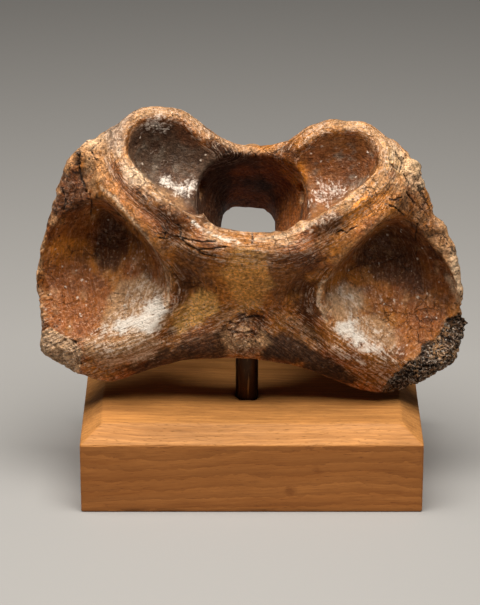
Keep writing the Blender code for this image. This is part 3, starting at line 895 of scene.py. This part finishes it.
cracks = [(width, under_pixels(line, step=3.0)) for width, line in CRACKS]
deep_hole = under_pixels(DEEP_HOLE, step=2.0)
nerve_pore = under_pixels(NERVE_PORE, step=2.0)
refine(atlas.data, broken_places, 1)
refine(atlas.data, cracked_places, 2)
atlas.data.shade_smooth()
places = points_of(atlas.data)
normals = normals_of(atlas.data)
local = in_bone(places)
picture = seen(places)
facing_bone = normals @ pose_turn
ends = edge_ends(atlas.data)
hollowness = ((spread(places, ends, 10) - places) * normals).sum(axis=1)
to_viewer = ramp(normals @ view_back, -0.05, 0.3)
up = local @ FOSSA_UP
cloud = rugged(local, 11, 101, 4)
patchy = rugged(local, 5.5, 105, 3)
fleck = rugged(local, 2.6, 111, 3)


def along(line, radius, soft=0.6, wander=0.0):
    """A mask beside a line on the bone: 1 within the radius less its soft share, 0 outside, on that side only.

    The flecks move its edge in and out by wander."""
    path, facing = line
    return ramp(gap_to(path, places) + wander * fleck, radius, radius * (1 - soft)) * ramp(normals @ facing, -0.1, 0.3)


def patch(loop, soft=4.0, fray=5.0):
    """A mask inside a loop of picture pixels, on what faces the viewer. The random fields fray its outline."""
    return ramp(inside(loop, picture) + fray * (patchy + 0.5 * fleck), -soft, soft) * to_viewer


def cup_depth(side):
    """How far inside the cup's rim a place of its hollow is, in millimetres. Outside it is below nought."""
    loop = flowing(cup_rim(side), closed=True)[:, :2]
    far_in = inside(loop, local[:, :2]) - CUP_EDGE
    return np.where((facing_bone[:, 2] > -0.1) & (local[:, 2] > -9) & (side * local[:, 0] > 0), far_in, -9.0)


def fossa_depth(side):
    """The same for the hollow under a wing, seen along the way it opens."""
    loop = flowing(FOSSA_RIMS[side], closed=True)[:, :3]
    far_in = inside(np.column_stack([loop[:, 0], loop @ FOSSA_UP]), np.column_stack([local[:, 0], up]))
    return np.where((facing_bone @ FOSSA_OUT > 0.0) & (side * local[:, 0] > 0), far_in, -9.0)


def by_side(left, right):
    """The first value on the bone's left half, the second on its right."""
    return np.where(local[:, 0] < 0, left, right)


cup_in = np.maximum(cup_depth(-1), cup_depth(1))
fossa_in = np.maximum(fossa_depth(-1), fossa_depth(1))
edge_gap = gap_to_lines(WING_BORDERS.values())
rim_gap = gap_to_lines([cup_rim(side) for side in SIDES], closed=True)
tail_gap = gap_to_lines([WING_BORDERS[side][-3:] + mirrored(TAIL_BORDER, side) for side in SIDES])
pillar_gap = gap_to_lines(both(PILLAR))
lip_gap = gap_to_lines([LIP])
guide_gap = np.min([rim_gap, tail_gap, pillar_gap, lip_gap, edge_gap], axis=0)
# Fibres run side by side with the nearest crest or margin. On the tail band they fan down and out to the wing's tip.
strand = np.column_stack([guide_gap, local[:, 0] * 0.09, up * 0.09])
fan = by_side(LEFT_FAN, RIGHT_FAN)
band_strand = np.column_stack([
    -up * np.cos(fan) - abs(local[:, 0]) * np.sin(fan), abs(local[:, 0]) * 0.07, local @ FOSSA_OUT * 0.3,
])
band = ramp(tail_gap, 27, 17) * ramp(facing_bone @ FOSSA_OUT, -0.3, 0.1)
band *= 1 - ramp(abs(local[:, 0]), 58, 70) * ramp(fossa_in, 0, 4)

ragged = rugged(local, 3.5, 51)
cup = ramp(cup_in, -0.4, 1.4)
wing_edge = ramp(edge_gap, 9, 5) * (1 - ramp(fossa_in, 2, 6))
right_break = ramp(inside(RIGHT_BREAK, picture) + 2.5 * ragged, -1, 1)
left_break = ramp(inside(LEFT_BREAK, picture) + 1.5 * ragged, -1, 1)
crust = patch(CRUST, 1.5, 1.5)
broken = np.maximum(right_break, left_break)
knob = ramp(inside(KNOB_SCAR, picture) + 3 * ragged, -2, 2) * ramp(normals @ view_back, 0, 0.4)
crumbly = np.max([patch(loop, 2, 5) for loop in CRUMBLY], axis=0)
crack = np.max([along(line, width, 0.7, 0.35) * ramp(fleck, -1.1, -0.3) for width, line in cracks], axis=0)
hole = np.maximum(along(deep_hole, 2.2, 0.5, 0.6), along(nerve_pore, 1.6, 0.5, 0.5) * 0.4)
smooth_bone = (1 - cup) * (1 - broken) * (1 - knob)
shaded_under = np.max([patch(loop) for loop in SHADED_UNDER], axis=0)
fibre_ridges = random_field(strand, 1.7, 61) + 0.6 * random_field(strand, 0.9, 62)
band_ridges = random_field(band_strand, 1.9, 63) + 0.6 * random_field(band_strand, 1.1, 64)
fibrous = (1 - cup) * np.max([
    ramp(pillar_gap, 9, 4), ramp(lip_gap, 16, 8) * ramp(local[:, 1], -15, -20), ramp(rim_gap, 12, 6),
], axis=0)
sponge = ramp(grains(local, 2.0, 71), 0.55, 0.2) + 0.6 * ramp(grains(local, 1.2, 72), 0.55, 0.15)
relief = (BROAD_SWELL * rugged(local, 9, 21) + FINE_SWELL * rugged(local, 3.2, 31)) * smooth_bone
relief += CUP_SWELL * rugged(local, 6, 81) * cup
fibre_relief = FIBRE_HEIGHT * fibre_ridges * fibrous * (1 - band)
fibre_relief += BAND_HEIGHT * band_ridges * band * (1 - 0.6 * shaded_under)
relief += fibre_relief * smooth_bone
edge_relief = EDGE_WEAR * rugged(local, 4.5, 41) + EDGE_GRAIN * random_field(local, 1.8, 45)
relief += edge_relief * wing_edge * (1 - broken)
crumbs = CRUMB_HEIGHT * rugged(local, 4.2, 47, 3) - CRUMB_PIT * ramp(grains(local, 3.1, 48), 0.42, 0.12)
relief += crumbs * crumbly * (1 - broken)
spongy = (right_break + 0.45 * left_break) * sponge
relief -= right_break * to_viewer * BREAK_DEPTH + spongy * SPONGE_DEPTH - broken * BREAK_RISE
relief += SHARD_HEIGHT * rugged(local, 4, 91) * broken
relief += knob * (KNOB_HEIGHT * rugged(local, 4.5, 95, 4) - KNOB_PIT * ramp(grains(local, 2.2, 96), 0.5, 0.2))
relief += crust * (CRUST_HEIGHT + CRUST_HEIGHT * rugged(local, 3.5, 98, 4))
for x, y, radius, height in KNOCKS:
    relief += height * ramp(np.linalg.norm(picture - (x, y), axis=1) * MM_PER_PIXEL, radius, 0)
relief -= crack * CRACK_DEPTH + hole * HOLE_DEPTH
move_points(atlas.data, places + normals * relief[:, None])

# Stains and bare patches, with painted shade and painted highlights among them, laid one over another in this order.
RUST = (0.30, 0.080, 0.009)
GOLD = (0.43, 0.148, 0.015)
AMBER = (0.58, 0.190, 0.016)
HONEY = (0.80, 0.410, 0.100)
TAN = (0.50, 0.275, 0.125)
CREAM = (0.74, 0.530, 0.330)
UMBER = (0.100, 0.027, 0.004)
PEAT = (0.036, 0.012, 0.003)
SLATE = (0.085, 0.050, 0.030)
ASH = (0.30, 0.235, 0.170)
SOOT = (0.012, 0.008, 0.006)
tone = np.tile(RUST, (len(places), 1))


def stain(colour, amount):
    """Lays a colour over the tone, by the amount at each point."""
    tone[:] = tone + (np.array(colour) - tone) * np.clip(amount, 0, 1)[:, None]


stain(GOLD, ramp(cloud, -0.7, 0.5) * 0.85)
stain(UMBER, ramp(rugged(local, 8, 121, 4), 0.2, 1.0) * 0.65)
stain(UMBER, ramp(fleck, 0.15, 1.0) * 0.6)
stain(TAN, ramp(-fleck, 0.3, 1.1) * 0.4)
# Painted shade: darker in the hollows. Below it, what stands out is made paler.
stain(PEAT, ramp(hollowness, 0.10, 0.9) * 0.7)
stain(TAN, ramp(-hollowness + 0.15 * fleck, 0.25, 1.0) * 0.4)
stain(UMBER, ramp(fibre_ridges, -0.1, -1.0) * fibrous * 0.4)
stain(TAN, ramp(fibre_ridges, 0.2, 1.1) * fibrous * 0.4)
stain(UMBER, ramp(band_ridges, -0.1, -1.0) * band * 0.3)
stain(TAN, ramp(band_ridges, 0.1, 1.0) * band * 0.35)
middle_ring = np.hypot(local[:, 0] / 27, local[:, 1] / 30)
canal = ramp(middle_ring, 1.05, 0.9) * ramp(-(local[:, :2] * facing_bone[:, :2]).sum(axis=1), 2, 10)
stain(RUST, canal * 0.8)
overhang = ramp(normals[:, 2], 0.45, -0.1) * (1 - 0.5 * ramp(band_ridges, 0, 0.8) * band)
worn = np.max([canal, shaded_under, overhang], axis=0)
# Painted shade: the canal's walls are darkened, most towards its left.
stain(PEAT, canal * ramp(cloud - local[:, 0] / 30, -1.1, 0.3) * 0.9)
# Painted light: what faces up, outside the cups and the hollows under the wings, is paler.
stain(TAN, ramp(normals[:, 2], 0.4, 0.8) * (1 - cup) * ramp(fossa_in, 2, -1) * ramp(cloud, 0.9, -0.6) * 0.9)
stain(TAN, ramp(edge_gap, 8, 5) * ramp(-hollowness + 0.3 * ragged, 0.1, 0.8) * 0.6)
stain(TAN, crumbly * ramp(ragged, 0.2, -0.7) * 0.6)
stain(PEAT, crumbly * ramp(patchy + fleck, 0.1, 1.1) * 0.95)
stain(SLATE, cup * by_side(0.95, 0.5))
stain(RUST, cup * by_side(0.1, 0.3) * ramp(patchy, -0.6, 0.6))
stain(PEAT, cup * ramp(patchy + 0.5 * fleck, 0.0, 0.9) * by_side(0.8, 0.4))
stain(ASH, cup * ramp(fleck - 0.4 * patchy, 0.2, 1.1) * 0.5)

# Patches: the colour, how much of it, and the loop of picture pixels that it shows in. Most are stains; those marked
# below are painted shade and painted highlights.
STAINS_SHADE_AND_HIGHLIGHTS = [
    # Partly a pale patch, partly painted highlight: on the left shoulder.
    (CREAM, 0.4, [82,140, 92,132, 102,134, 102,148, 88,154]),
    (ASH, 0.6, [104,124, 126,108, 132,118, 124,132, 120,150, 108,150]),
    (UMBER, 0.35, [104,124, 126,108, 132,118, 124,132, 120,150, 108,150]),
    (UMBER, 0.3, [126,114, 146,104, 178,106, 200,120, 214,134, 206,134, 190,116, 150,112, 132,120]),
    (TAN, 0.5, [84,142, 104,138, 114,156, 104,186, 90,180, 82,160]),
    # Partly the pale rim, partly painted highlight: the left cup's outer rim.
    (CREAM, 0.5, [120,150, 126,160, 138,172, 152,184, 146,193, 132,184, 122,172]),
    (TAN, 0.3, [124,126, 140,110, 168,106, 192,112, 204,124, 196,124, 184,115, 164,112, 146,117, 130,132]),
    (TAN, 0.6, [150,186, 166,192, 184,206, 176,214, 160,204, 148,196]),
    (UMBER, 0.75, [172,122, 194,124, 202,140, 186,148, 176,138]),
    (UMBER, 0.95, [58,176, 74,166, 92,186, 84,212, 58,226, 48,212]),
    (UMBER, 0.7, [156,202, 172,199, 180,214, 174,236, 160,236]),
    (UMBER, 0.35, [178,206, 196,202, 206,214, 200,226, 184,230, 178,222]),
    (AMBER, 0.3, [104,160, 114,176, 130,196, 140,214, 126,206, 106,186, 96,168]),
    # Painted shadow: the dark upper part of the hollow under the left wing.
    (UMBER, 0.9, [92,218, 112,214, 124,226, 126,250, 118,274, 96,272, 88,250]),
    (RUST, 0.8, [48,232, 66,214, 90,208, 100,222, 90,262, 64,272, 46,262]),
    (AMBER, 0.75, [50,246, 70,236, 92,244, 100,276, 80,286, 48,276]),
    (RUST, 0.85, [40,262, 76,262, 112,280, 112,304, 92,334, 48,330]),
    (UMBER, 0.3, [44,262, 80,262, 106,280, 84,296, 46,292]),
    # Painted light: the lit lower wall of the hollow under the left wing.
    (TAN, 0.9, [120,280, 146,272, 166,290, 166,322, 140,338, 104,332, 104,310]),
    # Partly golden bone, partly painted light: the slope facing up below the left belly hollow.
    (HONEY, 0.9, [170,326, 180,304, 204,286, 216,296, 220,312, 204,324, 180,334]),
    # Painted shade: the groove beside the left pillar.
    (UMBER, 0.8, [172,276, 184,264, 194,272, 192,288, 182,304, 172,308]),
    # Painted shade: the underside below the left tail band.
    (PEAT, 0.85, [128,368, 160,350, 186,336, 224,330, 234,362, 190,368, 140,382]),
    (AMBER, 0.4, [204,262, 246,256, 290,262, 296,290, 262,312, 222,308]),
    (UMBER, 0.6, [172,244, 196,250, 206,268, 200,280, 188,276, 174,262]),
    (UMBER, 0.7, [268,256, 300,250, 322,246, 312,270, 300,290, 280,306, 264,290]),
    (HONEY, 0.4, [220,270, 236,250, 262,254, 274,284, 258,310, 236,308]),
    (UMBER, 0.4, [192,252, 214,248, 228,260, 212,288, 198,282]),
    (TAN, 0.35, [300,134, 316,122, 350,118, 380,130, 392,150, 380,152, 366,134, 340,126, 316,132]),
    (TAN, 0.6, [334,210, 350,192, 371,184, 386,162, 394,168, 390,188, 366,204, 346,214]),
    (AMBER, 0.75, [366,192, 392,190, 384,212, 352,230, 334,226, 346,214]),
    (UMBER, 0.8, [322,214, 340,210, 347,224, 332,236, 320,230]),
    (UMBER, 0.5, [394,190, 424,192, 440,222, 444,246, 424,240, 398,216]),
    (TAN, 0.7, [84,340, 130,334, 168,342, 150,358, 112,368, 86,354]),
    (HONEY, 0.35, [388,148, 408,152, 416,172, 404,186, 392,170]),
    (CREAM, 0.5, [392,142, 416,160, 424,186, 408,190, 396,170]),
    # Painted shadow: the dark upper part of the hollow under the right wing.
    (UMBER, 0.9, [352,258, 384,228, 410,228, 420,252, 424,288, 404,300, 380,276, 356,266]),
    (UMBER, 0.55, [408,226, 436,246, 454,276, 456,306, 434,322, 408,312, 408,280]),
    (CREAM, 0.6, [448,250, 462,262, 464,308, 454,304]),
    (AMBER, 0.7, [332,270, 352,270, 360,284, 346,290, 330,286]),
    # Painted highlights: the lit walls of the hollow under the right wing.
    (CREAM, 0.5, [326,296, 342,284, 360,288, 368,306, 350,314, 330,310]),
    (TAN, 0.8, [322,306, 344,302, 360,314, 386,320, 402,338, 394,350, 350,340, 326,318]),
    (RUST, 0.5, [362,286, 404,286, 414,310, 392,314, 370,306]),
    (RUST, 0.6, [396,306, 432,300, 444,318, 424,348, 402,360, 396,336]),
    # Painted shade: the groove beside the right pillar.
    (UMBER, 0.85, [296,286, 316,282, 320,318, 304,322, 294,304]),
    # Painted shade: the underside below the right tail band.
    (PEAT, 0.95, [264,332, 294,334, 324,352, 362,382, 330,382, 300,366, 264,362]),
    (AMBER, 0.9, [280,162, 300,162, 306,172, 304,190, 294,186, 284,178]),
    (SOOT, 0.3, [126,136, 150,128, 196,130, 210,150, 196,168, 160,170, 136,160]),
]
# Painted sheen: highlights painted on as pale patches; how much, and the loop.
PAINTED_SHEEN_PATCHES = [
    (0.65, [152,176, 168,178, 178,184, 196,176, 200,184, 186,196, 170,188]),
    (0.45, [134,124, 150,114, 176,116, 178,126, 162,132, 146,130]),
    (0.25, [140,148, 166,142, 176,160, 160,176, 144,166]),
    (0.5, [308,190, 322,178, 346,184, 356,190, 342,196, 330,206, 314,204]),
    (0.42, [134,278, 150,270, 166,284, 170,318, 156,340, 112,346, 92,334, 112,308]),
    (0.95, [140,306, 158,300, 166,312, 156,330, 128,334, 108,330, 122,318]),
    (0.85, [328,296, 342,288, 356,294, 362,304, 344,302]),
    (0.38, [322,316, 356,306, 396,336, 410,362, 388,372, 344,352]),
    (1.0, [332,322, 352,317, 370,334, 380,350, 366,350, 344,338]),
    (0.35, [378,298, 392,292, 396,304, 384,310]),
    (0.15, [60,300, 90,290, 98,320, 66,332]),
    (0.16, [312,146, 350,136, 374,150, 368,172, 326,172]),
    (0.42, [328,344, 356,350, 392,372, 402,386, 372,380, 336,360]),
    (0.38, [84,338, 130,334, 172,338, 152,362, 110,366]),
    (0.25, [124,228, 138,240, 158,262, 162,284, 146,288, 126,276, 122,250]),
    (0.2, [358,284, 372,280, 386,290, 380,312, 364,306]),
]
for colour, amount, loop in STAINS_SHADE_AND_HIGHLIGHTS:
    stain(colour, patch(loop) * amount)
fossa = ramp(fossa_in, 0, 3)
stain(UMBER, fossa * ramp(patchy + 0.6 * fleck, 0.1, 1.2) * 0.5)
stain(TAN, fossa * ramp(-patchy - 0.4 * fleck, 0.4, 1.3) * 0.45)
# Painted highlights: pale lines along the pillars' edges and the lip's edges.
for line in PILLAR_EDGES + LIP_EDGES:
    stain(CREAM, along(under_pixels(line), 1.0, 0.7, 0.4) * ramp(fossa_in, 3, 0) * 0.65)
pitted_rim = patch(PITTED_RIM)
# Painted highlights: pale sheen in those patches and along the lip's left edge.
painted_sheen = np.max([patch(loop, 9, 5) * amount for amount, loop in PAINTED_SHEEN_PATCHES], axis=0)
painted_sheen = np.maximum(painted_sheen, along(under_pixels(LIP_EDGES[0]), 1.1, 0.7, 0.5) * 0.75)
# Painted shade: the cracks and the holes are darkened near black.
stain(SOOT, np.maximum(crack, hole) * 0.9)
stain(TAN, broken * 0.85)
stain(CREAM, left_break * 0.2)
stain(PEAT, right_break * ramp(ragged + 0.5 * fleck, -0.9, 0.4) * 0.85)
stain(CREAM, broken * ramp(fleck, 0.4, 1.1) * 0.4)
# Painted shade: the holes of the sponge on the breaks are darkened.
stain(SOOT, np.maximum(right_break, left_break * 0.2) * np.clip(sponge, 0, 1) * 0.85)
stain(UMBER, knob * 0.7)
stain(SOOT, knob * ramp(ragged + 0.6 * fleck, 0.1, 0.9) * 0.5)
stain(TAN, knob * ramp(ragged, -0.1, -0.9) * 0.75)
stain(TAN, patch(KNOB_LEDGE) * 0.75)
store(atlas.data, "tone", np.column_stack([tone, np.ones(len(tone))]))
for name, values in {
    "strand": strand * MM, "band_strand": band_strand * MM, "cup": cup, "band": band, "fibrous": fibrous,
    "broken": np.maximum(right_break, left_break * 0.3), "crumbly": np.max([crumbly, knob, pitted_rim * 0.8], axis=0),
    "painted_sheen": painted_sheen, "shaded": shaded_under, "smooth": np.maximum(cup, fossa), "worn": worn,
}.items():
    store(atlas.data, name, values)

MOTTLE_SCALE, GRAIN_SCALE, FIBRE_SCALE, BAND_SCALE = 520, 820, 1100, 1150
SPECK_SCALE, PIT_SCALE, CRACKLE_SCALE, SPONGE_SCALE = 250, 420, 190, 560
BUMP_DEPTH, COAT_BUMP_DEPTH = 0.0013, 0.0012
CREST_HIGHLIGHT = (0.80, 0.58, 0.42)
GLINT = (0.80, 0.52, 0.30)
SHEEN_PALE = (0.86, 0.75, 0.63)
DUST_AND_GLINT = (0.82, 0.68, 0.54)
PIT = (0.025, 0.012, 0.006)
SPARK = (0.72, 0.60, 0.48)


def fossil_bone():
    """Varnished brown bone: the tone kept on its points, mottled finely, with fibres, small pits and fine cracks in
    relief, painted shade in its pits, and painted highlights: sheen patches, pale crests, glints and specks partly of
    dust."""
    made, shader, place = new_finish("fossil_bone", Roughness=0.5, Coat_Roughness=0.16, Specular_IOR_Level=0.2)
    cup, broken, band, crumbly, worn, painted_sheen, smooth, fibrous, shaded = (kept(place.tree, name) for name in (
        "cup", "broken", "band", "crumbly", "worn", "painted_sheen", "smooth", "fibrous", "shaded"))
    fine = place.noise(MOTTLE_SCALE, 5, 0.72)
    micro = place.noise(GRAIN_SCALE, 2, 0.65)
    guided = kept(place.tree, "strand", "Vector").noise(FIBRE_SCALE, 3, 0.65)
    fanned = kept(place.tree, "band_strand", "Vector").noise(BAND_SCALE, 2, 0.6)
    fibres = add_node(place.tree, "Mix", {0: band | painted_sheen, 2: guided, 3: fanned})
    fibre_share = fibrous | band | cup.between(0.2, 0)
    deep_fibres = (fibres - 0.5) * fibre_share
    colour = kept(place.tree, "tone", "Color").scaled(fine.levels(0.34, 0.66, 0.6, 1.42))
    colour = colour.scaled(deep_fibres.levels(-0.16, 0.16, 0.6, 1.4))
    colour = colour.scaled(micro.levels(0.35, 0.65, smooth.between(0.58, 0.8), smooth.between(1.42, 1.2)))
    crest = (fibres - 0.5).levels(0, 0.05) * fibres.levels(0.55, 0.6, 1, 0) * fine.levels(0.4, 0.55) * fibre_share
    crest *= shaded.between(1, 0.08)
    # Painted highlight: the fibres' crests are paler, less so on the shaded underside.
    colour = (crest * 0.8).tint(colour, CREST_HIGHLIGHT)
    # Painted highlights: small pale glints on the grain, fewer on the cups and in the worn places.
    glints = micro.levels(0.6, 0.68, 0, 0.3) * (worn | cup).between(1, 0.15)
    colour = glints.tint(colour, GLINT)
    # Painted highlight: pale streaks of sheen where the painted sheen mask is set.
    sheen_streaks = (fine + fibres * 1.4 + micro * 0.9 + painted_sheen).levels(2, 2.55) * painted_sheen.levels(0, 0.25)
    colour = sheen_streaks.tint(colour, SHEEN_PALE)
    # Pale specks, partly dust and partly painted glints, most in the cups and the hollows under the wings.
    dust_and_glint_specks = (place.cells(SPECK_SCALE) + fine.levels(0.4, 0.6, 0.12, -0.06)).levels(0.07, 0.16, 0.75, 0)
    colour = (dust_and_glint_specks * smooth.between(0.15, 1)).tint(colour, DUST_AND_GLINT)
    reach = fine.levels(0.35, 0.65, 0.25, -0.05) + crumbly.between(0, -0.09)
    pits = (place.cells(PIT_SCALE) + reach).levels(0.12, 0.22, 1, 0) * cup.between(1, 0.3)
    warped = place.moved(place.noise(300, output="Color").scaled(0.004))
    seams = warped.cells(CRACKLE_SCALE, "DISTANCE_TO_EDGE").levels(0, 0.045, 0.9, 0)
    crackle = seams * place.noise(75, 2).levels(0.5, 0.62) * (cup | band | painted_sheen).levels(0, 0.8, 1, 0.1)
    sponge = warped.cells(SPONGE_SCALE, "DISTANCE_TO_EDGE") + micro.levels(0.3, 0.7, -0.1, 0.1)
    # Painted shade: the pits and the holes of the sponge on the breaks are tinted near black, with the dark seams of
    # the crackle.
    dark = pits * 0.8 | crackle * 0.75 | sponge.levels(0.08, 0.22) * broken
    colour = dark.tint(colour, PIT)
    sparks = micro.levels(0.57, 0.64, 0, 0.7) * broken
    gloss = (broken | crumbly | worn).between(0.85, 0.12) * micro.levels(0.38, 0.6, 0.25, 1) * cup.between(1, 0.4)
    height = fine + micro * 0.8 + deep_fibres * 1.4 + (dark * -0.9 + crest * 0.25)
    feed(shader, {
        "Base Color": sparks.tint(colour, SPARK), "Roughness": fine.levels(0.3, 0.7, 0.5, 0.34) + worn * 0.4,
        "Coat Weight": gloss, "Normal": height.bumped(0.85, BUMP_DEPTH),
        "Coat Normal": height.bumped(0.85, COAT_BUMP_DEPTH),
    })
    return made


atlas.data.materials.append(fossil_bone())
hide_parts("atlas")
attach(atlas, "root")


# The table and the light: a plain pale floor, a broad soft box over the mount and a little behind it,
# and a low warm light in front.
FLOOR_REACH = 4
FLOOR_GREY = (0.31, 0.30, 0.285, 1)
ROOM_GLOW = (0.022, 0.020, 0.018, 1)
floor_mesh = bpy.data.meshes.new("floor")
corners = [(x * FLOOR_REACH, y * FLOOR_REACH, 0) for x, y in ((-1, -1), (1, -1), (1, 1), (-1, 1))]
floor_mesh.from_pydata(corners, [], [(0, 1, 2, 3)])
floor = placed("floor", floor_mesh)
floor.data.materials.append(new_finish("pale_floor", Base_Color=FLOOR_GREY, Roughness=0.7)[0])


def soft_light(name, place, target, width, height, power, colour):
    """A soft box of the size, at the place and turned to the target."""
    lamp = bpy.data.lights.new(name, "AREA")
    lamp.shape, lamp.size, lamp.size_y, lamp.energy, lamp.color = "RECTANGLE", width, height, power, colour
    turn = (Vector(target) - Vector(place)).to_track_quat("-Z", "Y").to_matrix().to_4x4()
    placed(name, lamp).matrix_world = Matrix.Translation(place) @ turn


soft_light("over", place=(-0.03, -0.18, 0.76), target=(0, 0, 0.1), width=0.9, height=0.46, power=13.8,
           colour=(1.0, 0.97, 0.93))
soft_light("front", place=(0.1, -1.6, 0.35), target=(0, 0, 0.08), width=0.5, height=0.4, power=0.4,
           colour=(1.0, 0.80, 0.62))
room = bpy.data.worlds.new("room")
room.use_nodes = True
room.node_tree.nodes["Background"].inputs[0].default_value = ROOM_GLOW
bpy.context.scene.world = room

bpy.context.view_layer.update()
